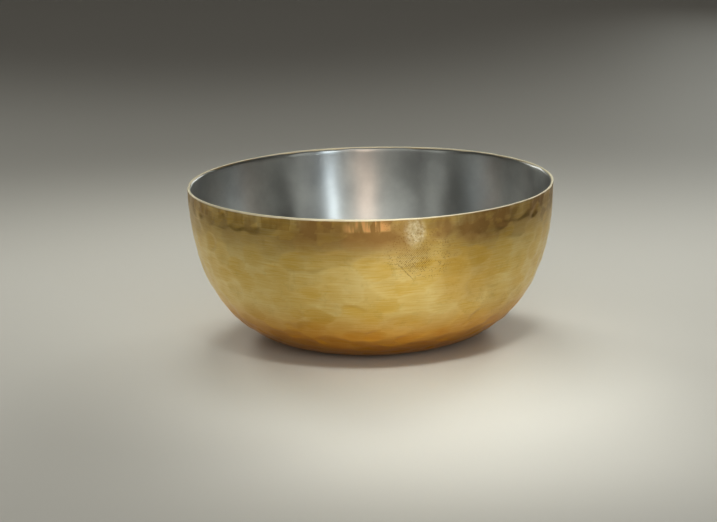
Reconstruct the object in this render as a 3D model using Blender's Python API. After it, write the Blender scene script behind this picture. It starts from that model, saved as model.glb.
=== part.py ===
"""A hand-raised, hammered brass bowl with a tinned inside, in metres, +Z up.

It is two pieces of metal: the raised brass shell, whose outside is covered with planished hammer
flats, and the tin lining that is wiped over its inside. The origin is the middle of the flat foot.
"""

import math
import random

import bmesh
import bpy
from mathutils import Vector

# Driving dimensions of the raised form, outside of the brass.
RIM_RADIUS = 0.065
HEIGHT = 0.056
FOOT_RADIUS = 0.030
FOOT_SWEEP = Vector((0.021, 0.003))
RIM_PULL = 0.034

# Metal thicknesses. The clearance stands for the bond between the tin and the brass.
BRASS_WALL = 0.0009
TIN_COAT = 0.00025
CLEARANCE = 0.00015

# The lip is rounded on both sides of a narrow filed flat, and the tin stops just under it.
LIP_ROUND = 0.0003
LIP_ROUND_STEPS = 3
TIN_BELOW_LIP = 0.0004

# Planishing: courses of hammer flats, staggered like bricks from the foot to the lip.
FLATS_AROUND = 36
STEPS_AROUND = 2 * FLATS_AROUND
COURSES = 10
FLAT_DISH = 0.00005
STRIKE_WANDER_AROUND = 0.16
STRIKE_WANDER_ALONG = 0.13
HAMMER_SEED = 7

# Rings of the smooth inside faces.
INSIDE_RINGS = 14
PROFILE_SAMPLES = 400

BRASS = {"colour": (0.78, 0.57, 0.24, 1), "roughness": 0.32, "metallic": 1.0}
TIN = {"colour": (0.62, 0.62, 0.60, 1), "roughness": 0.28, "metallic": 1.0}


def clear_scene():
    for obj in list(bpy.data.objects):
        bpy.data.objects.remove(obj)


def metal(name, colour, roughness, metallic):
    material = bpy.data.materials.new(name)
    material.use_nodes = True
    shader = material.node_tree.nodes["Principled BSDF"]
    shader.inputs["Base Color"].default_value = colour
    shader.inputs["Roughness"].default_value = roughness
    shader.inputs["Metallic"].default_value = metallic
    return material


def outside_point(t):
    """The bowl's outside, from the foot at t = 0 to the rim at t = 1: (radius, height)."""
    foot = Vector((FOOT_RADIUS, 0))
    rim = Vector((RIM_RADIUS, HEIGHT))
    foot_handle = foot + FOOT_SWEEP
    rim_handle = rim - Vector((0, RIM_PULL))
    s = 1 - t
    return s**3 * foot + 3 * s * s * t * foot_handle + 3 * s * t * t * rim_handle + t**3 * rim


def inward(t):
    """The unit vector from the outside into the metal, square to the wall."""
    step = 1e-4
    along = outside_point(min(1, t + step)) - outside_point(max(0, t - step))
    return Vector((-along.y, along.x)).normalized()


def evenly_spaced(count, last=1.0):
    """Values of t that cut the wall up to t = last into count stretches of equal length."""
    samples = [last * i / PROFILE_SAMPLES for i in range(PROFILE_SAMPLES + 1)]
    lengths = [0.0]
    for a, b in zip(samples, samples[1:]):
        lengths.append(lengths[-1] + (outside_point(b) - outside_point(a)).length)
    found = []
    for k in range(count + 1):
        wanted = lengths[-1] * k / count
        i = next(i for i, length in enumerate(lengths) if length >= wanted - 1e-12)
        found.append(samples[i])
    return found


def t_at_height(height):
    """Where the outside reaches this height, by halving."""
    low, high = 0.0, 1.0
    while high - low > 1e-7:
        middle = (low + high) / 2
        if outside_point(middle).y < height:
            low = middle
        else:
            high = middle
    return (low + high) / 2


def wall_layer(depth, top, rings=INSIDE_RINGS):
    """Profile points of a surface this far inside the brass's outside, from the top to the middle."""
    points = []
    for t in reversed(evenly_spaced(rings, t_at_height(top))):
        point = outside_point(t) + depth * inward(t)
        points.append(Vector((point.x, max(point.y, depth))))
    points[0].y = top
    points[-1].y = depth
    return points


def angle(step):
    return 2 * math.pi * step / STEPS_AROUND


def ring(bm, point):
    """One circle of vertices through a profile point."""
    return [
        bm.verts.new((point.x * math.cos(angle(j)), point.x * math.sin(angle(j)), point.y))
        for j in range(STEPS_AROUND)
    ]


def bridge(bm, lower, upper):
    """A band of faces between two rings, facing out where upper lies above or outside lower."""
    for j in range(STEPS_AROUND):
        k = (j + 1) % STEPS_AROUND
        bm.faces.new((lower[j], lower[k], upper[k], upper[j]))


def skin(bm, rings):
    for lower, upper in zip(rings, rings[1:]):
        bridge(bm, lower, upper)


def cap(bm, edge, height, faces_up):
    """A flat disc that closes a ring, as a fan about its middle."""
    middle = bm.verts.new((0, 0, height))
    for j in range(STEPS_AROUND):
        k = (j + 1) % STEPS_AROUND
        order = (edge[j], edge[k], middle) if faces_up else (edge[k], edge[j], middle)
        bm.faces.new(order)


def struck_ring(bm, t, course_height, strikes):
    """A boundary between two courses, whose corners wander as the hammer did."""
    corners = []
    for j in range(STEPS_AROUND):
        drift = strikes.uniform(-1, 1) * STRIKE_WANDER_ALONG * course_height
        turn = angle(j + strikes.uniform(-1, 1) * STRIKE_WANDER_AROUND)
        point = outside_point(min(1, max(0, t + drift)))
        corners.append(bm.verts.new((point.x * math.cos(turn), point.x * math.sin(turn), point.y)))
    return corners


def hammer_flat(bm, corners, t, turn):
    """One hammer flat: a fan about a struck middle that lies a little under its corners."""
    normal = inward(t)
    push = FLAT_DISH * Vector((normal.x * math.cos(turn), normal.x * math.sin(turn), normal.y))
    centre = sum((v.co for v in corners), Vector()) / len(corners)
    middle = bm.verts.new(centre + push)
    for a, b in zip(corners, corners[1:] + corners[:1]):
        bm.faces.new((a, b, middle))


def hammered_outside(bm):
    """The planished wall from the foot's edge to the lip. Returns its lowest and highest rings."""
    strikes = random.Random(HAMMER_SEED)
    stops = evenly_spaced(COURSES, t_at_height(HEIGHT - LIP_ROUND))
    rings = [ring(bm, outside_point(stops[0]))]
    for below, t in zip(stops, stops[1:-1]):
        rings.append(struck_ring(bm, t, t - below, strikes))
    rings.append(ring(bm, outside_point(stops[-1])))
    for course in range(COURSES):
        lower, upper = rings[course], rings[course + 1]
        middle_t = (stops[course] + stops[course + 1]) / 2
        for flat in range(FLATS_AROUND):
            first = 2 * flat + course % 2
            steps = [(first + n) % STEPS_AROUND for n in range(3)]
            corners = [lower[j] for j in steps] + [upper[j] for j in reversed(steps)]
            hammer_flat(bm, corners, middle_t, angle(first + 1))
    return rings[0], rings[-1]


def lip_points():
    """The rounded lip of the brass, from its outer edge over the filed flat to its inner edge."""
    quarter = [math.pi / 2 * n / LIP_ROUND_STEPS for n in range(LIP_ROUND_STEPS + 1)]
    outer_centre = Vector((RIM_RADIUS - LIP_ROUND, HEIGHT - LIP_ROUND))
    inner_centre = Vector((RIM_RADIUS - BRASS_WALL + LIP_ROUND, HEIGHT - LIP_ROUND))
    outer = [outer_centre + LIP_ROUND * Vector((math.cos(a), math.sin(a))) for a in quarter[1:]]
    inner = [inner_centre + LIP_ROUND * Vector((-math.sin(a), math.cos(a))) for a in quarter[:-1]]
    return outer + inner


def finish(bm, name, material, smooth_angle):
    bmesh.ops.recalc_face_normals(bm, faces=bm.faces)
    mesh = bpy.data.meshes.new(name)
    bm.to_mesh(mesh)
    bm.free()
    mesh.shade_smooth()
    mesh.set_sharp_from_angle(angle=smooth_angle)
    mesh.materials.append(material)
    obj = bpy.data.objects.new(name, mesh)
    bpy.context.scene.collection.objects.link(obj)
    return obj


def brass_shell():
    """The raised body: hammered outside, rounded lip, smooth inside and a flat foot."""
    bm = bmesh.new()
    foot_edge, lip_edge = hammered_outside(bm)
    inside = wall_layer(BRASS_WALL, HEIGHT - LIP_ROUND)
    lip_and_inside = [ring(bm, point) for point in lip_points() + inside]
    skin(bm, [lip_edge] + lip_and_inside)
    cap(bm, lip_and_inside[-1], BRASS_WALL, faces_up=True)
    cap(bm, foot_edge, 0, faces_up=False)
    return finish(bm, "brass_shell", metal("brass", **BRASS), math.radians(4))


def tin_lining():
    """The wiped tin: a thin dish that follows the inside of the brass up to just under the lip."""
    bm = bmesh.new()
    top = HEIGHT - TIN_BELOW_LIP
    back_depth = BRASS_WALL + CLEARANCE
    back = wall_layer(back_depth, top)
    face = wall_layer(back_depth + TIN_COAT, top)
    back_rings = [ring(bm, point) for point in back]
    face_rings = [ring(bm, point) for point in face]
    skin(bm, list(reversed(back_rings)) + face_rings)
    cap(bm, back_rings[-1], back_depth, faces_up=False)
    cap(bm, face_rings[-1], back_depth + TIN_COAT, faces_up=True)
    return finish(bm, "tin_lining", metal("tin", **TIN), math.radians(30))


def main():
    clear_scene()
    brass_shell()
    tin_lining()


main()
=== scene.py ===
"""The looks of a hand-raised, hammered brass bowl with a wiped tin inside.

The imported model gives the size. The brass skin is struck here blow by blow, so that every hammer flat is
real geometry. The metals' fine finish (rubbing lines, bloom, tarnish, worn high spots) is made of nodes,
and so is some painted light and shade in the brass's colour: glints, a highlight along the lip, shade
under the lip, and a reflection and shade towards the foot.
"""

import math

import bpy
import numpy as np
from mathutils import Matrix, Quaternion, Vector

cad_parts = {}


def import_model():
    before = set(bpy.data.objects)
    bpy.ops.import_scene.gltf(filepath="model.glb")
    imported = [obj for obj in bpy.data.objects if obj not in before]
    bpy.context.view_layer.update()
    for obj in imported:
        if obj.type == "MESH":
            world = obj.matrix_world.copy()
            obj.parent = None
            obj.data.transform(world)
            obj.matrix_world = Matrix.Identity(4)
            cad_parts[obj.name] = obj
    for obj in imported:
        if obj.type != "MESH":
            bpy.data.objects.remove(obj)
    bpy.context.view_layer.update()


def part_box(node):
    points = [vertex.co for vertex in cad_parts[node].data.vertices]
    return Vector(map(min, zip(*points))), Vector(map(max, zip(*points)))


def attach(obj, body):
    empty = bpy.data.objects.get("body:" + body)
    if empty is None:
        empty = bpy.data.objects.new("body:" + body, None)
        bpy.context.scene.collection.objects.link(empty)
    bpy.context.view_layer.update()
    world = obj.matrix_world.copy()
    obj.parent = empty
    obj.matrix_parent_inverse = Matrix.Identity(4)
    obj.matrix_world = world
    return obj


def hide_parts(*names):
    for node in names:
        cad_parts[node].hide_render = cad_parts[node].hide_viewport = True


MM = 0.001

# The raised form in section: a flat foot, a sweep off the foot and an upright lip. The lip's powers,
# across and up, make it a little squarer than a half round, whose powers would be 1.
FOOT_RADIUS = 30 * MM
FOOT_SWEEP = (21 * MM, 3 * MM)
RIM_PULL = 34 * MM
BRASS_WALL = 0.9 * MM
TIN_COAT = 0.25 * MM
TIN_BOND = 0.02 * MM
LIP_ROUND = 0.35 * MM
LIP_POWERS = (0.6, 0.7)
TIN_BELOW_LIP = 0.45 * MM
TIN_FEATHER = 1.2 * MM

# How finely the skins are laid out.
CURVE_SAMPLES = 800
INSIDE_SAMPLES = 400
STEPS_AROUND = 480
FOOT_RINGS = 15
WALL_RINGS = 160
LIP_RINGS = 4
BACK_RINGS = 10
BACK_FLOOR_RINGS = 3
TIN_FLOOR_RINGS = 18
TIN_WALL_RINGS = 104

# Planishing, by share of the way from the foot's middle to the lip: how far apart the courses and the
# blows land, the half width, half height and depth of one blow in millimetres, and how far it leans. The
# blows that close the lip are narrow and stand upright.
COURSES = {
    0.00: (5.4, 8.0, 6.2, 4.4, 0.17, 0.025),
    0.36: (3.4, 9.0, 7.0, 2.8, 0.13, 0.045),
    0.52: (4.0, 9.0, 7.0, 3.3, 0.15, 0.045),
    0.66: (5.6, 9.4, 7.2, 4.6, 0.20, 0.040),
    0.80: (5.4, 8.4, 6.4, 4.3, 0.20, 0.024),
    1.00: (4.8, 7.4, 5.6, 3.9, 0.18, 0.020),
}
LIP_BLOW_SPACING = 3.9 * MM
LIP_BLOW = (2.5 * MM, 3.1 * MM, 0.13 * MM)
LIP_BLOW_LEAN = 0.07
LIP_BLOWS_BELOW = 2.9 * MM
STRAY_BLOWS = 150
HAMMER_SEED = 5

# How blows differ: the spread of their size and depth, in a course and astray, how far one lands from
# its even place, as a share of a blow, and how far the hammer is slewed.
COURSE_SIZES = (0.78, 1.22)
COURSE_DEPTHS = (0.6, 1.25)
STRAY_SIZES = (0.5, 1.0)
STRAY_DEPTHS = (0.7, 1.2)
COURSE_WANDER = 0.2
LIP_WANDER = 0.12
SLEW = 0.15

# The flat that a blow leaves: its hollow, as a curvature per metre, how much it wraps round the bowl, the
# share of it that is soft edge, and how many half sizes away the skin is still looked at.
DISH = (0.0, 4.0)
WRAP = (0.1, 0.6)
EDGE_SHARE = 0.26
BLOW_REACH = 2.5

# The inside's slow ripple: how many waves cross, their lengths and their height.
RIPPLES = 18
RIPPLE_LENGTHS = (9 * MM, 18 * MM)
RIPPLE_HEIGHT = 0.05 * MM

# A ridge between flats stands proud of the skin around it. It is told by softening the skin a few rounds
# and many rounds, and the step between the two that counts as fully proud.
FEW_ROUNDS = 10
MANY_ROUNDS = 70
PROUD_STEP = 0.04 * MM

# Slow wander round the bowl, as lobes: how many, how high in millimetres, and their phase. A raised form
# isn't quite round or level, and the tin's upper edge isn't quite even.
OUT_OF_ROUND = ((2, 0.16, 0.7), (3, 0.12, 2.1), (5, 0.06, 4.0))
OUT_OF_LEVEL = ((2, 0.14, -0.4), (3, 0.09, 1.3), (7, 0.05, 0.5))
LEVEL_DROP = 0.2
TIN_EDGE_LOBES = ((9, 0.10, 0), (23, 0.08, 1), (41, 0.06, 2))
TIN_EDGE_BAND = 2 * MM

# Colours of the brass, from clean to tarnished, some of them painted light and shade, and of the tin.
PALE = (0.83, 0.65, 0.27, 1)
GOLDEN = (0.73, 0.48, 0.10, 1)
BROWN = (0.39, 0.22, 0.07, 1)
# The two oranges paint a reflection of warm light towards the foot.
PAINTED_REFLECTION_ORANGE = (0.64, 0.27, 0.015, 1)
PAINTED_REFLECTION_LIGHT_ORANGE = (0.76, 0.40, 0.05, 1)
# This brown paints shade at the bottom of the foot.
FOOT_SHADE_BROWN = (0.40, 0.17, 0.01, 1)
AMBER = (0.60, 0.33, 0.05, 1)
OLIVE = (0.46, 0.32, 0.06, 1)
PAINTED_GLINT_COPPER = (0.92, 0.52, 0.20, 1)
PIT_DARK = (0.27, 0.12, 0.025, 1)
PAINTED_GLINT_CREAM = (0.92, 0.82, 0.55, 1)
FILED_LIP_AND_PAINTED_HIGHLIGHT = (0.98, 0.90, 0.68, 1)
CLOUDED_TIN = (0.46, 0.465, 0.46, 1)
BRIGHT_TIN = (0.60, 0.605, 0.59, 1)
PALE_FLOOR = (0.60, 0.58, 0.54, 1)

# No part of either metal is polished finer than this.
FINEST_POLISH = 0.29

# Where the rubbing is measured round the bowl, and how much of a patch is whole before it fades.
RUBBED_RADIUS = 62 * MM
PATCH_CORE = 0.15

# Marks of the tools: the width of an upright mark under the lip, and the hatching's spacing, the way it
# faces in degrees, and how far it climbs.
LIP_MARK_WIDTH = 7.5 * MM
HATCH_SPACING = 0.62 * MM
HATCH_TURN = 17
HATCH_RISE = 0.75

# Places on the outside that differ: degrees round from the front, height, half width and half height.
COARSE_PLACE = (15, 43 * MM, 17 * MM, 12 * MM)
HATCHED_PLACE = (13, 41.5 * MM, 8 * MM, 5.5 * MM)
# The glint is a painted highlight.
PAINTED_GLINT_PLACE = (13, 51 * MM, 4.5 * MM, 6 * MM)
# The next four places make the band under the lip browner, paler and darker in turn: partly tarnish,
# partly painted shade.
BROWNER_BAND_PLACE = (-9, 47 * MM, 26 * MM, 13 * MM)
PALER_BAND_PLACE = (-46, 50 * MM, 30 * MM, 22 * MM)
DARK_PATCH = (37, 51 * MM, 15 * MM, 8 * MM)
SMALL_DARK_PATCH = (21, 51.5 * MM, 6 * MM, 4.5 * MM)
WARMED_PLACE = (31, 35 * MM, 17 * MM, 16 * MM)
# The copper-pink streak here is a painted reflection of a warm light.
PAINTED_COPPER_GLINT_PLACE = (-1, 53 * MM, 9.5 * MM, 3.4 * MM)
SCRATCH = ((7.2, 41 * MM), (13.4, 33.5 * MM))
SCRATCH_WIDTHS = (0.22 * MM, 0.06 * MM)

KEY_WHITE = (0.985, 1.0, 0.935)
FILL_WHITE = (0.97, 1.0, 0.93)
COOL_WHITE = (0.80, 0.92, 1.0)
WARM_WHITE = (1.0, 0.72, 0.55)
AIR_COLOUR = (0.52, 0.50, 0.46, 1)
AIR_STRENGTH = 0.16
BOWL_MIDDLE = (0, 0, 0.04)

# The camera: its height angle and roll in degrees, how far off it stands, its lens, and where it aims.
CAMERA_ELEVATION = 13.63
CAMERA_ROLL = -1.27
CAMERA_DISTANCE = 0.76
CAMERA_LENS = 106.1
AIM_SIDEWAYS = -4.8 * MM
AIM_BELOW_MIDDLE = 1.7 * MM


# ---------------------------------------------------------------- the raised form


def outside_curve(t, rim):
    """The brass's outside, foot edge at t = 0 and lip at t = 1, as rows of (radius, height)."""
    foot = np.array([FOOT_RADIUS, 0.0])
    foot_handle = foot + FOOT_SWEEP
    rim_handle = rim - (0.0, RIM_PULL)
    t = np.asarray(t, float)[:, None]
    s = 1 - t
    return s**3 * foot + 3 * s * s * t * foot_handle + 3 * s * t * t * rim_handle + t**3 * rim


def evenly(section, count):
    """The same section with count + 1 points, equally far apart along it."""
    lengths = np.linalg.norm(np.diff(section, axis=0), axis=1)
    along = np.concatenate([[0], np.cumsum(lengths)])
    wanted = np.linspace(0, along[-1], count + 1)
    return np.stack([np.interp(wanted, along, section[:, k]) for k in range(2)], axis=1)


def outward(section):
    """Unit normals of a section that runs from the middle of the foot out and up to the lip."""
    along = np.gradient(section, axis=0)
    normals = np.stack([along[:, 1], -along[:, 0]], axis=1)
    return normals / np.linalg.norm(normals, axis=1)[:, None]


def inside_wall(rim, depth, top):
    """The wall's section this far inside the brass's outside, from the floor up to top."""
    wall = outside_curve(np.linspace(0, 1, INSIDE_SAMPLES), rim)
    wall = wall - depth * outward(wall)
    wall = wall[(wall[:, 1] > depth) & (wall[:, 1] < top)]
    floor_edge = [FOOT_RADIUS, depth]
    lip = [wall[-1, 0], top]
    return np.concatenate([[floor_edge], wall, [lip]])


def floor_to_edge(radius, height, rings):
    """A flat floor's section from near the axis to its edge, which is left to the wall."""
    radii = radius * (np.arange(rings) + 0.5) / rings
    return np.stack([radii, np.full(rings, height)], axis=1)


def angles():
    """The turns round the bowl at which every ring has a point."""
    return np.linspace(0, 2 * math.pi, STEPS_AROUND, endpoint=False)


def turned(section):
    """A grid of points, rings by steps around, for a section given as one row per ring."""
    a = angles()
    radius, height = section[:, 0, None], section[:, 1, None]
    return np.stack([radius * np.cos(a), radius * np.sin(a), height + 0 * a], axis=2)


def turned_normals(section):
    """The outward normals of a turned section, on the same grid."""
    normals = outward(section)
    a = angles()
    across, up = normals[:, 0, None], normals[:, 1, None]
    return np.stack([across * np.cos(a), across * np.sin(a), up + 0 * a], axis=2)


def lobed(a, lobes):
    """A slow wave round the bowl at these turns, the sum of its lobes, in millimetres."""
    return sum(size * np.sin(count * a + phase) for count, size, phase in lobes)


def hand_raised(points, rim):
    """A raised form is never quite round or level: a slow wander, under half a millimetre."""
    x, y, z = (points[..., k] for k in range(3))
    a = np.arctan2(y, x)
    share = np.clip(z / rim[1], 0, 1)
    wander = 1 + lobed(a, OUT_OF_ROUND) * MM * share / rim[0]
    lift = lobed(a, OUT_OF_LEVEL) - LEVEL_DROP
    return np.stack([x * wander, y * wander, z + lift * MM * share**2], axis=-1)


def on_circle(turn, distance, height):
    """A place at this many degrees round from the front, seen from above, anticlockwise."""
    a = math.radians(turn - 90)
    return (distance * math.cos(a), distance * math.sin(a), height)


def smooth(x):
    """0 below 0, 1 above 1, smooth in between."""
    x = np.clip(x, 0, 1)
    return x * x * (3 - 2 * x)


# ---------------------------------------------------------------- the hammer


def hammer_blows(along, section, rng):
    """Where each blow lands, course by course from the foot's middle to the lip, then the stray ones, as
    (distance along the section, turn round the bowl, half width, half height, depth, lean)."""
    full = along[-1]
    blows = []

    def planished(at):
        """The course spacing, blow spacing, blow and lean at this distance along the section."""
        table = np.array(list(COURSES.values()))
        values = np.array([np.interp(at / full, list(COURSES), column) for column in table.T])
        return values[0] * MM, values[1] * MM, values[2:5] * MM, values[5]

    def course(at, spacing, blow, wander, lean):
        """One ring of blows, evenly spaced and then strayed by this share of a blow."""
        radius = np.interp(at, along, section[:, 0])
        count = max(1, round(2 * math.pi * radius / spacing))
        start = rng.uniform(0, 2 * math.pi)
        for k in range(count):
            turn = start + 2 * math.pi * (k + rng.normal(0, wander)) / count
            place = at + rng.normal(0, wander) * blow[1]
            size = rng.uniform(*COURSE_SIZES)
            depth = blow[2] * rng.uniform(*COURSE_DEPTHS)
            blows.append((place, turn, blow[0] * size, blow[1] * size, depth, lean))

    at = planished(0)[0] / 2
    while at < full - LIP_BLOWS_BELOW:
        step, spacing, blow, lean = planished(at)
        course(at, spacing, blow, COURSE_WANDER, lean)
        at += step
    for _ in range(STRAY_BLOWS):
        place = full * math.sqrt(rng.uniform(0.1, 1))
        size = rng.uniform(*STRAY_SIZES)
        turn = rng.uniform(0, 2 * math.pi)
        blow, lean = planished(place)[2:]
        depth = blow[2] * rng.uniform(*STRAY_DEPTHS)
        blows.append((place, turn, blow[0] * size, blow[1] * size, depth, lean))
    course(full - LIP_BLOWS_BELOW, LIP_BLOW_SPACING, LIP_BLOW, LIP_WANDER, LIP_BLOW_LEAN)
    return blows


def strike(points, section):
    """Presses every blow into the skin. Returns how far each point is pressed in, and the tone of the
    flat that it lies on. The bowl turns a little under each blow, so a flat wraps partly round it."""
    rng = np.random.default_rng(HAMMER_SEED)
    lengths = np.linalg.norm(np.diff(section, axis=0), axis=1)
    along = np.concatenate([[0], np.cumsum(lengths)])
    section_normals = outward(section)
    pressed = np.zeros(points.shape[:2])
    tone = np.full(points.shape[:2], 0.5)
    for at, turn, half_width, half_height, depth, lean in hammer_blows(along, section, rng):
        radius, height = (np.interp(at, along, section[:, k]) for k in range(2))
        across, rise = (np.interp(at, along, section_normals[:, k]) for k in range(2))
        spin = Quaternion((0, 0, 1), turn)
        centre = np.array(spin @ Vector((radius, 0, height)))
        normal = np.array(spin @ Vector((across, 0, rise)))
        slew = Quaternion(Vector(normal), rng.normal(0, SLEW))
        around = np.array(slew @ (spin @ Vector((0, 1, 0))))
        up = np.cross(normal, around)
        lean_around, lean_up = rng.normal(0, lean, 2)
        dish = rng.uniform(*DISH)
        wrap = rng.uniform(*WRAP)
        mark = rng.uniform(0, 1)
        rows = np.flatnonzero(np.abs(along - at) < BLOW_REACH * max(half_width, half_height))
        offset = points[rows] - centre
        fallen = -(offset @ normal)
        u, v = offset @ around, offset @ up
        reach = np.hypot(u / half_width, v / half_height)
        face = depth - (1 - wrap) * fallen + lean_around * u + lean_up * v - dish * (u * u + v * v) / 2
        dent = np.clip(face, 0, None) * smooth((1 - reach) / EDGE_SHARE)
        deeper = dent > pressed[rows]
        pressed[rows] = np.where(deeper, dent, pressed[rows])
        tone[rows] = np.where(deeper, mark, tone[rows])
    return pressed, tone


def relaxed(grid, rounds):
    """Softens a grid a little: each point moves towards its neighbours around and along."""
    for _ in range(rounds):
        around = (np.roll(grid, 1, axis=1) + np.roll(grid, -1, axis=1)) / 2
        padded = np.concatenate([grid[:1], grid, grid[-1:]])
        along = (padded[:-2] + padded[2:]) / 2
        grid = 0.5 * grid + 0.25 * around + 0.25 * along
    return grid


# ---------------------------------------------------------------- meshes


def closed_turning(name, rings, attributes):
    """A closed mesh from rings that start and end near the axis; a point on the axis closes each end.
    attributes holds one value per ring point, such as a flat's tone."""
    count, steps = rings.shape[:2]
    first, last = rings[0].mean(axis=0), rings[-1].mean(axis=0)
    verts = np.concatenate([rings.reshape(-1, 3), [first], [last]])
    step = np.arange(steps)
    after = (step + 1) % steps
    quads = []
    for k in range(count - 1):
        low, high = k * steps, (k + 1) * steps
        quads.append(np.stack([low + step, low + after, high + after, high + step], axis=1))
    faces = [tuple(f) for f in np.concatenate(quads).tolist()]
    start, end = count * steps, count * steps + 1
    faces += [(start, int(b), int(a)) for a, b in zip(step, after)]
    top = (count - 1) * steps
    faces += [(end, int(top + a), int(top + b)) for a, b in zip(step, after)]
    mesh = bpy.data.meshes.new(name)
    mesh.from_pydata(verts.tolist(), [], faces)
    mesh.update()
    for key, values in attributes.items():
        layer = mesh.attributes.new(key, "FLOAT", "POINT")
        ends = [values[0].mean(), values[-1].mean()]
        layer.data.foreach_set("value", np.concatenate([values.ravel(), ends]).astype(np.float32))
    mesh.shade_smooth()
    obj = bpy.data.objects.new(name, mesh)
    bpy.context.scene.collection.objects.link(obj)
    return obj


def hammered_shell(rim):
    """The whole brass piece: struck outside, filed lip, plain back where the tin is bonded."""
    foot = floor_to_edge(FOOT_RADIUS, 0.0, FOOT_RINGS)
    wall_top = np.array([rim[0], rim[1] - LIP_ROUND])
    wall = evenly(outside_curve(np.linspace(0, 1, CURVE_SAMPLES), wall_top), WALL_RINGS)
    section = np.concatenate([foot, wall])
    points, normals = turned(section), turned_normals(section)
    pressed, tone = strike(points, section)
    pressed = relaxed(pressed, 1)
    ridges = relaxed(pressed, MANY_ROUNDS) - relaxed(pressed, FEW_ROUNDS)
    proud = np.clip(ridges / PROUD_STEP, -1, 1)
    outside = points - normals * pressed[..., None]
    back_top = rim[1] - LIP_ROUND
    back_wall = evenly(inside_wall(rim, BRASS_WALL, back_top), BACK_RINGS)
    back_floor = floor_to_edge(FOOT_RADIUS, BRASS_WALL, BACK_FLOOR_RINGS)
    back = turned(np.concatenate([back_floor, back_wall])[::-1])
    lip = lip_rings(outside[-1], back[0], rim[1])
    rings = np.concatenate([outside, lip, back])
    extra = len(rings) - len(outside)
    unmarked = np.full((extra, STEPS_AROUND), 0.5)
    marks = {
        "flat_tone": np.concatenate([tone, unmarked]),
        "proud": np.concatenate([proud, 0 * unmarked]),
    }
    return closed_turning("hammered_shell", hand_raised(rings, rim), marks)


def lip_rings(outer_edge, inner_edge, top):
    """The filed and rounded lip between the struck outside and the back, about half round in section."""
    rings = []
    across, up = LIP_POWERS
    middle = (outer_edge + inner_edge) / 2
    half = (outer_edge - inner_edge) / 2
    for k in range(1, 2 * LIP_RINGS):
        a = math.pi * k / (2 * LIP_RINGS)
        bulge = math.copysign(abs(math.cos(a)) ** across, math.cos(a))
        ring = middle + half * bulge
        ring[:, 2] = middle[:, 2] + (top - middle[:, 2]) * math.sin(a) ** up
        rings.append(ring)
    return np.array(rings)


def tinned_inside(rim):
    """The wiped tin: its bright face, a feathered upper edge just under the lip, and its back."""
    top = rim[1] - TIN_BELOW_LIP
    depth = BRASS_WALL + TIN_BOND
    back_wall = evenly(inside_wall(rim, depth, top), BACK_RINGS)
    back_floor = floor_to_edge(FOOT_RADIUS, depth, BACK_FLOOR_RINGS)
    back = np.concatenate([back_floor, back_wall])
    face_wall = evenly(inside_wall(rim, depth + TIN_COAT, top), TIN_WALL_RINGS)
    face_floor = floor_to_edge(FOOT_RADIUS, depth + TIN_COAT, TIN_FLOOR_RINGS)
    face = np.concatenate([face_floor, face_wall])
    feather = smooth((top - face[:, 1]) / TIN_FEATHER)
    face = face + outward(face) * (TIN_COAT * 0.9 * (1 - feather))[:, None]
    points = turned(face)
    normals = turned_normals(face)
    x, y, z = (points[..., k] for k in range(3))
    ripple = waves(x, y, z) * RIPPLE_HEIGHT * feather[:, None]
    points = points + normals * ripple[..., None]
    rings = np.concatenate([turned(back), points[::-1]])
    share = np.clip((rings[..., 2] - (top - TIN_EDGE_BAND)) / TIN_EDGE_BAND, 0, 1)
    rings[..., 2] += lobed(angles(), TIN_EDGE_LOBES) * MM * share
    return closed_turning("tinned_inside", hand_raised(rings, rim), {})


def waves(x, y, z):
    """The slow ripple that the blows leave on the inside, from a few crossing waves."""
    rng = np.random.default_rng(HAMMER_SEED + 1)
    total = np.zeros(x.shape)
    for _ in range(RIPPLES):
        direction = rng.normal(0, 1, 3)
        direction = direction / np.linalg.norm(direction)
        length = rng.uniform(*RIPPLE_LENGTHS)
        phase = rng.uniform(0, 2 * math.pi)
        along = x * direction[0] + y * direction[1] + z * direction[2]
        total += np.sin(2 * math.pi * along / length + phase)
    return total / math.sqrt(RIPPLES)


# ---------------------------------------------------------------- finishes


class Field:
    """A number that changes over the surface. Arithmetic on it adds Math nodes."""

    def __init__(self, finish, socket):
        self.finish = finish
        self.socket = socket

    def math(self, operation, *others, clamp=False):
        return self.finish.node(
            "ShaderNodeMath", {"operation": operation, "use_clamp": clamp}, [self, *others]
        )

    def __add__(self, other):
        return self.math("ADD", other)

    def __sub__(self, other):
        return self.math("SUBTRACT", other)

    def __mul__(self, other):
        return self.math("MULTIPLY", other)

    def __truediv__(self, other):
        return self.math("DIVIDE", other)

    def __pow__(self, other):
        return self.math("POWER", other)

    __radd__ = __add__
    __rmul__ = __mul__

    def __rsub__(self, other):
        return self.finish.node("ShaderNodeMath", {"operation": "SUBTRACT"}, [other, self])

    def clamped(self):
        return self.math("ADD", 0.0, clamp=True)

    def between(self, low, high):
        """0 at low, 1 at high and smooth in between, whichever of the two is the larger."""
        settings = {"interpolation_type": "SMOOTHSTEP"}
        if low < high:
            return self.finish.node("ShaderNodeMapRange", settings, [self, low, high])
        return 1 - self.finish.node("ShaderNodeMapRange", settings, [self, high, low])


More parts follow.
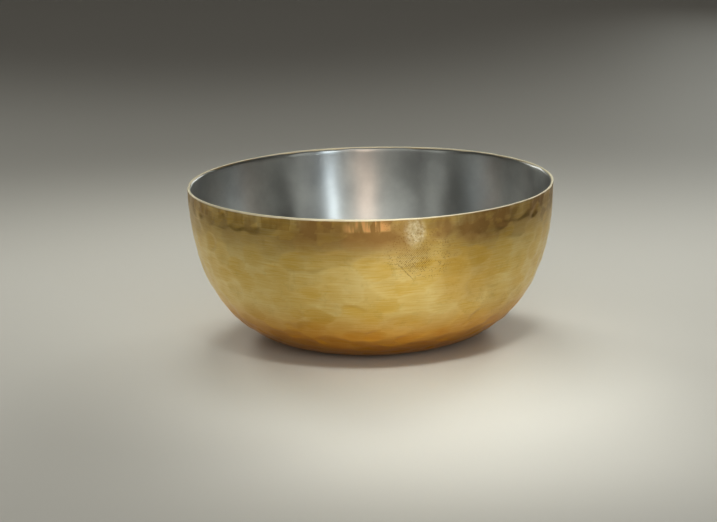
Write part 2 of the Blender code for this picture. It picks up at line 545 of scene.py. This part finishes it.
class Finish:
    """A metal's material: a Principled shader, and the nodes that feed it."""

    def __init__(self, name, rim, **constants):
        self.rim = rim
        self.material = bpy.data.materials.new(name)
        self.material.use_nodes = True
        self.tree = self.material.node_tree
        self.shader = self.tree.nodes["Principled BSDF"]
        for key, value in constants.items():
            self.shader.inputs[key.replace("_", " ")].default_value = value
        self.place = self.node("ShaderNodeTexCoord", output="Object")
        split = self.node("ShaderNodeSeparateXYZ", {}, [self.place])
        self.x, self.y, self.z = (Field(self, part) for part in split.socket.node.outputs)
        self.radius = (self.x * self.x + self.y * self.y).math("SQRT").math("MAXIMUM", 0.5 * MM)

    def node(self, kind, settings=None, inputs=None, output=0):
        """One node. settings are set first; inputs are a list in socket order, or a dict by name."""
        made = self.tree.nodes.new(kind)
        for key, value in (settings or {}).items():
            setattr(made, key, value)
        pairs = inputs.items() if isinstance(inputs, dict) else enumerate(inputs or [])
        for key, value in pairs:
            if isinstance(value, Field):
                self.tree.links.new(value.socket, made.inputs[key])
            else:
                made.inputs[key].default_value = value
        return Field(self, made.outputs[output])

    def feed(self, **inputs):
        for key, value in inputs.items():
            self.tree.links.new(value.socket, self.shader.inputs[key.replace("_", " ")])

    def attribute(self, name):
        return self.node("ShaderNodeAttribute", {"attribute_name": name}, output="Fac")

    def noise(self, scale, detail=2.0, roughness=0.5, at=None):
        inputs = {"Vector": at or self.place, "Scale": scale, "Detail": detail, "Roughness": roughness}
        return self.node("ShaderNodeTexNoise", {}, inputs)

    def rings(self, long, wide):
        """Coordinates in which a unit is this long around the bowl and this wide across the rubbing."""
        turn = RUBBED_RADIUS / long
        across = [self.x / self.radius * turn, self.y / self.radius * turn]
        return self.node("ShaderNodeCombineXYZ", {}, [*across, (self.z + self.radius) * (1 / wide)])

    def near(self, turn, height, across, up):
        """1 at this turn and height on the wall, falling to 0 at this distance across and up."""
        x, y, z = on_circle(turn, self.rim[0], height)
        sideways = ((self.x - x) / across) ** 2 + ((self.y - y) / across) ** 2
        off = sideways + ((self.z - z) / up) ** 2
        return off.between(1.0, PATCH_CORE)

    def scratch(self, start, end):
        """A fine straight scratch between two places on the wall, each a (turn in degrees, height)."""
        reach = self.rim[0]
        around = self.x.math("ARCTAN2", 0 - self.y) * reach
        low, high = (Vector((math.radians(turn) * reach, height)) for turn, height in (start, end))
        length = (high - low).length
        along = (high - low).normalized()
        run = (around - low.x) * along.x + (self.z - low.y) * along.y
        off = ((around - low.x) * along.y - (self.z - low.y) * along.x).math("ABSOLUTE")
        fading = run.between(0, 0.1 * length) * run.between(length, 0.8 * length)
        return off.between(*SCRATCH_WIDTHS) * fading

    def mixed(self, share, first, second):
        """A colour between two colours, which may be fields or RGBA values."""
        inputs = {"Factor": share, 6: first, 7: second}
        return self.node("ShaderNodeMix", {"data_type": "RGBA"}, inputs, output=2)

    def bumped(self, height, distance):
        return self.node("ShaderNodeBump", {}, {"Height": height, "Distance": distance})


def lip_marks(brass, bands, bloom):
    """The upright marks of the blows that close the lip. Returns their course just under the lip, their
    streaks, and how light each mark is. A mark has its own tone and a clean lower edge."""
    rim_radius, top = brass.rim
    turn = brass.y.math("ARCTAN2", brass.x)
    mark = (turn * (rim_radius / LIP_MARK_WIDTH) + bloom * 3).math("FLOOR")
    settings = {"noise_dimensions": "1D"}
    mark_tone = brass.node("ShaderNodeTexWhiteNoise", settings, {"W": mark}, output="Value")
    upright = brass.noise(1.0, 2.0, 0.5, at=brass.rings(2.0 * MM, 14 * MM))
    course = (brass.z + bands * 1.5 * MM).between(top - 3.9 * MM, top - 3.3 * MM)
    lightness = course * ((mark_tone - 0.5) * 0.5 + (upright - 0.5) * 0.7)
    return course, upright, lightness


def coarse_grain(brass, mottle):
    """Coarse places, where the hammer's face left its grain. Returns how coarse, the pits, the hatched
    patch and the waves of its hatching."""
    coarse = brass.near(*COARSE_PLACE)
    coarse = (coarse * 1.5 + (brass.noise(27.0, 2.0, 0.5) - 0.60) * 5 + (mottle - 0.5) * 1.5).clamped()
    inputs = {"Vector": brass.place, "Scale": 1500.0}
    cells = brass.node("ShaderNodeTexVoronoi", {}, inputs, output="Distance")
    pits = cells.between(0.42, 0.15) * brass.noise(420.0, 2.0, 0.5).between(0.30, 0.52) * coarse
    turn = math.radians(HATCH_TURN)
    slant = brass.x * math.cos(turn) + brass.y * math.sin(turn) + brass.z * HATCH_RISE
    hatch = (slant * (2 * math.pi / HATCH_SPACING)).math("SINE")
    hatched = brass.near(*HATCHED_PLACE) * (mottle * 1.6)
    return coarse, pits, hatched, hatch


def hammered_brass(rim):
    """Yellow brass: flats of slightly different tone, rubbed round the bowl; duller under the lip, partly
    tarnish and partly painted shade; warmer towards the foot, a painted reflection, and darker at it,
    painted shade; two painted glints; bright along the lip, partly a painted highlight, and on the ridges
    that a cloth reaches."""
    brass = Finish("hammered_brass", rim, Anisotropic=0.35, Anisotropic_Rotation=0.25)
    z, top = brass.z, rim[1]
    flat_tone = brass.attribute("flat_tone")
    proud = brass.attribute("proud")

    # Rubbing that runs round the bowl, and tone that wanders over it, from slow to fine.
    bands = brass.noise(1.0, 2.0, 0.5, at=brass.rings(30 * MM, 1.6 * MM))
    lines = brass.noise(1.0, 3.0, 0.65, at=brass.rings(14 * MM, 0.42 * MM))
    hairs = brass.noise(1.0, 2.0, 0.6, at=brass.rings(6 * MM, 0.30 * MM))
    bloom = brass.noise(34.0, 3.0, 0.55)
    mottle = brass.noise(210.0, 4.0, 0.6)
    speckle = brass.noise(900.0, 3.0, 0.6)
    grain = brass.noise(1500.0, 2.0, 0.5)

    under_lip = z.between(top - 17 * MM, top - 5 * MM)
    foot_painted_reflection = z.between(24 * MM, 9 * MM)
    foot_painted_shade = z.between(14 * MM, 3 * MM)
    lip = z.between(top - 0.75 * MM, top - 0.45 * MM)
    lip_course, upright, closing = lip_marks(brass, bands, bloom)
    coarse, pits, hatched, hatch = coarse_grain(brass, mottle)
    scratch = brass.scratch(*SCRATCH)
    # A speckled cream patch under the lip is a painted highlight.
    painted_glint = brass.near(*PAINTED_GLINT_PLACE)

    # Under the lip the brass turns brown: partly tarnish, more on the flats that the cloth misses, and
    # partly painted shade.
    uneven = bloom * 0.9 + mottle * 0.4 + flat_tone * 0.5 - closing * 0.8 - 0.29
    uneven = uneven + brass.near(*BROWNER_BAND_PLACE) * 0.40 - brass.near(*PALER_BAND_PLACE) * 0.18
    dark_patches = brass.near(*DARK_PATCH) + brass.near(*SMALL_DARK_PATCH)
    # The brown band and its darker patches are partly tarnish and partly painted shade.
    tarnish_and_painted_shade = (under_lip * uneven * 0.95 + dark_patches * mottle * 0.7).clamped()
    warmed = brass.near(*WARMED_PLACE) * (mottle * 0.9 + speckle * 0.5)
    # A copper-pink streak painted in the marks under the lip: a painted reflection of a warm light.
    painted_copper_glint = brass.near(*PAINTED_COPPER_GLINT_PLACE) * lip_course * upright.between(0.46, 0.60)
    flecks = ((mottle * 0.6 + speckle * 0.4 - 0.53) * 3.0).clamped()
    painted_glint_speckle = (painted_glint * (speckle - 0.3) * 2.4).clamped()
    sunk = pits * 0.5 + hatched * (hatch * 0.5 + 0.5) * 0.7 + scratch * (0.15 + mottle * 0.35)

    rubbed = (lines - 0.5) * 1.3 + (hairs - 0.5) * 1.5 + (bands - 0.5) * 0.4
    tone = (bloom - 0.5) * 1.1 + (flat_tone - 0.5) * 0.55 + rubbed + proud * 0.12 + closing * 0.6 + 0.5
    tone = tone.clamped()
    colour = brass.mixed(tone, GOLDEN, PALE)
    colour = brass.mixed(flecks * 0.5, colour, OLIVE)
    # Towards the foot the brass is painted a deeper orange: a painted reflection.
    colour = brass.mixed(foot_painted_reflection * 0.95, colour, brass.mixed(tone, PAINTED_REFLECTION_ORANGE, PAINTED_REFLECTION_LIGHT_ORANGE))
    # The bottom of the foot is painted dark brown: painted shade where the bowl meets the floor.
    colour = brass.mixed(foot_painted_shade * 0.6, colour, FOOT_SHADE_BROWN)
    colour = brass.mixed(warmed * 0.55, colour, AMBER)
    colour = brass.mixed(tarnish_and_painted_shade, colour, BROWN)
    colour = brass.mixed((painted_copper_glint * 0.9).clamped(), colour, PAINTED_GLINT_COPPER)
    # Painted highlight: the speckled cream glint.
    colour = brass.mixed(painted_glint_speckle * 0.8, colour, PAINTED_GLINT_CREAM)
    colour = brass.mixed(sunk.clamped(), colour, PIT_DARK)
    # The lip is painted near-white cream: partly the filed lip, partly a painted highlight along it.
    colour = brass.mixed((lip * 0.9).clamped(), colour, FILED_LIP_AND_PAINTED_HIGHLIGHT)

    # The filed lip scatters light, so it is less of a mirror than the struck metal; with its near-white
    # colour this paints a bright highlight all round the lip.
    roughness = 0.355 + (flat_tone - 0.5) * 0.06 + (lines - 0.5) * 0.06 + tarnish_and_painted_shade * 0.08
    roughness = roughness + (mottle - 0.5) * 0.08 - proud * 0.02 + lip * 0.18 + coarse * 0.14
    height = lines * 0.7 + grain * 0.3 + hatched * hatch * 1.2 - pits * 0.8
    brass.feed(
        Base_Color=colour,
        Roughness=roughness.math("MAXIMUM", FINEST_POLISH),
        Metallic=1 - lip * 0.55,
        Normal=brass.bumped(height, 0.004 * MM),
    )
    return brass.material


def wiped_tin(rim):
    """Tin wiped and polished round the bowl: grey, a little cloudy, with fine circular lines."""
    tin = Finish("wiped_tin", rim, Metallic=1.0, Anisotropic=0.75, Anisotropic_Rotation=0.25)
    lines = tin.noise(1.0, 3.0, 0.6, at=tin.rings(26 * MM, 0.5 * MM))
    cloud = tin.noise(60.0, 4.0, 0.6)
    roughness = 0.33 + (cloud - 0.5) * 0.08 + (lines - 0.5) * 0.06
    tin.feed(
        Base_Color=tin.mixed(cloud.between(0.3, 0.7), CLOUDED_TIN, BRIGHT_TIN),
        Roughness=roughness.math("MAXIMUM", FINEST_POLISH),
        Normal=tin.bumped(lines, 0.002 * MM),
    )
    return tin.material


# ---------------------------------------------------------------- stage


def plain(name, colour, roughness):
    material = bpy.data.materials.new(name)
    material.use_nodes = True
    shader = material.node_tree.nodes["Principled BSDF"]
    shader.inputs["Base Color"].default_value = colour
    shader.inputs["Roughness"].default_value = roughness
    return material


def studio_floor():
    """A plain pale floor that turns up into a wall on every side."""
    flat, turn, wall, hole, steps = 1.5, 0.5, 1.0, 0.02, 96
    a = np.linspace(0, math.pi / 2, 13)
    corner = np.stack([flat + turn * np.sin(a), turn - turn * np.cos(a)], axis=1)
    section = np.concatenate([[[hole, 0.0]], corner, [[flat + turn, turn + wall]]])
    around = np.linspace(0, 2 * math.pi, steps, endpoint=False)
    verts = [(r * math.cos(b), r * math.sin(b), z) for r, z in section for b in around]
    faces = []
    for k in range(len(section) - 1):
        low, high = k * steps, (k + 1) * steps
        for j in range(steps):
            n = (j + 1) % steps
            faces.append((low + j, low + n, high + n, high + j))
    faces.append(tuple(reversed(range(steps))))
    mesh = bpy.data.meshes.new("studio_floor")
    mesh.from_pydata(verts, [], [tuple(reversed(f)) for f in faces])
    mesh.shade_smooth()
    mesh.materials.append(plain("pale_floor", PALE_FLOOR, 0.6))
    floor = bpy.data.objects.new("studio_floor", mesh)
    bpy.context.scene.collection.objects.link(floor)


def soft_light(name, place, target, size, power, colour, spread, in_metal=True):
    """One lamp. A lamp that isn't in_metal lights the floor only, and the metal mirrors that floor."""
    light = bpy.data.lights.new(name, "AREA")
    light.spread = math.radians(spread)
    light.shape = "RECTANGLE"
    light.size, light.size_y = size
    light.energy = power
    light.color = colour
    lamp = bpy.data.objects.new(name, light)
    lamp.location = place
    lamp.visible_camera = False
    lamp.visible_glossy = in_metal
    lamp.rotation_mode = "QUATERNION"
    lamp.rotation_quaternion = (Vector(target) - Vector(place)).to_track_quat("-Z", "Y")
    bpy.context.scene.collection.objects.link(lamp)


def floor_lights():
    """A pool of light in front of the bowl, and softer ones behind and beside it."""
    in_front = (0.028, -0.097, 0)
    soft_light("pool", (0.04, -0.30, 0.42), in_front, (0.12, 0.12), 0.044, KEY_WHITE, 19)
    behind = (0, 0.10, 0)
    lamp = on_circle(190, 0.38, 0.46)
    soft_light("key", lamp, behind, (0.20, 0.20), 0.10, KEY_WHITE, 44, in_metal=False)
    for turn in (-142, 142):
        beside = on_circle(turn * 0.7, 0.12, 0)
        lamp = on_circle(turn, 0.60, 0.36)
        soft_light(f"side_{turn}", lamp, beside, (0.20, 0.20), 0.080, KEY_WHITE, 32, in_metal=False)


def metal_lights():
    """Tall strips and cards, in front and behind, that draw the upright streaks in the metal, with a
    large soft fill in front and one overhead for the floor of the bowl."""
    cool, warm = on_circle(28, 0.95, 0.26), on_circle(3, 1.02, 0.34)
    soft_light("cool_strip", cool, BOWL_MIDDLE, (0.06, 0.50), 0.29, COOL_WHITE, 90)
    soft_light("warm_strip", warm, BOWL_MIDDLE, (0.19, 0.50), 0.22, WARM_WHITE, 90)
    for turn in (-46, 49):
        card = on_circle(turn, 1.05, 0.30)
        soft_light(f"side_card_{turn}", card, BOWL_MIDDLE, (0.26, 0.40), 0.10, FILL_WHITE, 90)
    soft_light("fill", on_circle(0, 1.25, 0.75), BOWL_MIDDLE, (1.7, 0.9), 2.3, FILL_WHITE, 120)
    for turn in (160, 215):
        strip = on_circle(turn, 1.0, 0.34)
        soft_light(f"back_strip_{turn}", strip, BOWL_MIDDLE, (0.24, 0.50), 0.12, FILL_WHITE, 60)
    soft_light("overhead", on_circle(180, 0.45, 0.95), (0, 0, 0.03), (0.9, 0.9), 0.32, KEY_WHITE, 42)


def studio_air():
    """The faint light of the room, and the plain way in which colours are shown."""
    world = bpy.data.worlds.new("studio_air")
    world.use_nodes = True
    air = world.node_tree.nodes["Background"]
    air.inputs["Color"].default_value = AIR_COLOUR
    air.inputs["Strength"].default_value = AIR_STRENGTH
    bpy.context.scene.world = world
    bpy.context.scene.view_settings.view_transform = "Standard"


def camera(rim):
    """A long lens, a little above the lip, rolled slightly to one side."""
    elevation, middle = math.radians(CAMERA_ELEVATION), rim[1] / 2
    aim = Vector((AIM_SIDEWAYS, 0, middle - AIM_BELOW_MIDDLE))
    back = Vector((0, -math.cos(elevation), math.sin(elevation)))
    lens = bpy.data.cameras.new("camera")
    lens.sensor_width = 36.0
    lens.lens = CAMERA_LENS
    lens.clip_start = 0.01
    cam = bpy.data.objects.new("camera", lens)
    cam.location = Vector((0, 0, middle)) + back * CAMERA_DISTANCE
    look = (aim - cam.location).to_track_quat("-Z", "Y")
    cam.rotation_mode = "QUATERNION"
    cam.rotation_quaternion = look @ Quaternion((0, 0, 1), math.radians(CAMERA_ROLL))
    bpy.context.scene.collection.objects.link(cam)
    bpy.context.scene.camera = cam


# ---------------------------------------------------------------- assembly


def main():
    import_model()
    low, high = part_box("brass_shell")
    rim = np.array([(high.x - low.x) / 2, high.z])

    shell = hammered_shell(rim)
    shell.data.materials.append(hammered_brass(rim))
    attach(shell, "root")
    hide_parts("brass_shell")

    lining = tinned_inside(rim)
    lining.data.materials.append(wiped_tin(rim))
    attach(lining, "root")
    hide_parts("tin_lining")

    studio_floor()
    floor_lights()
    metal_lights()
    studio_air()
    camera(rim)


main()
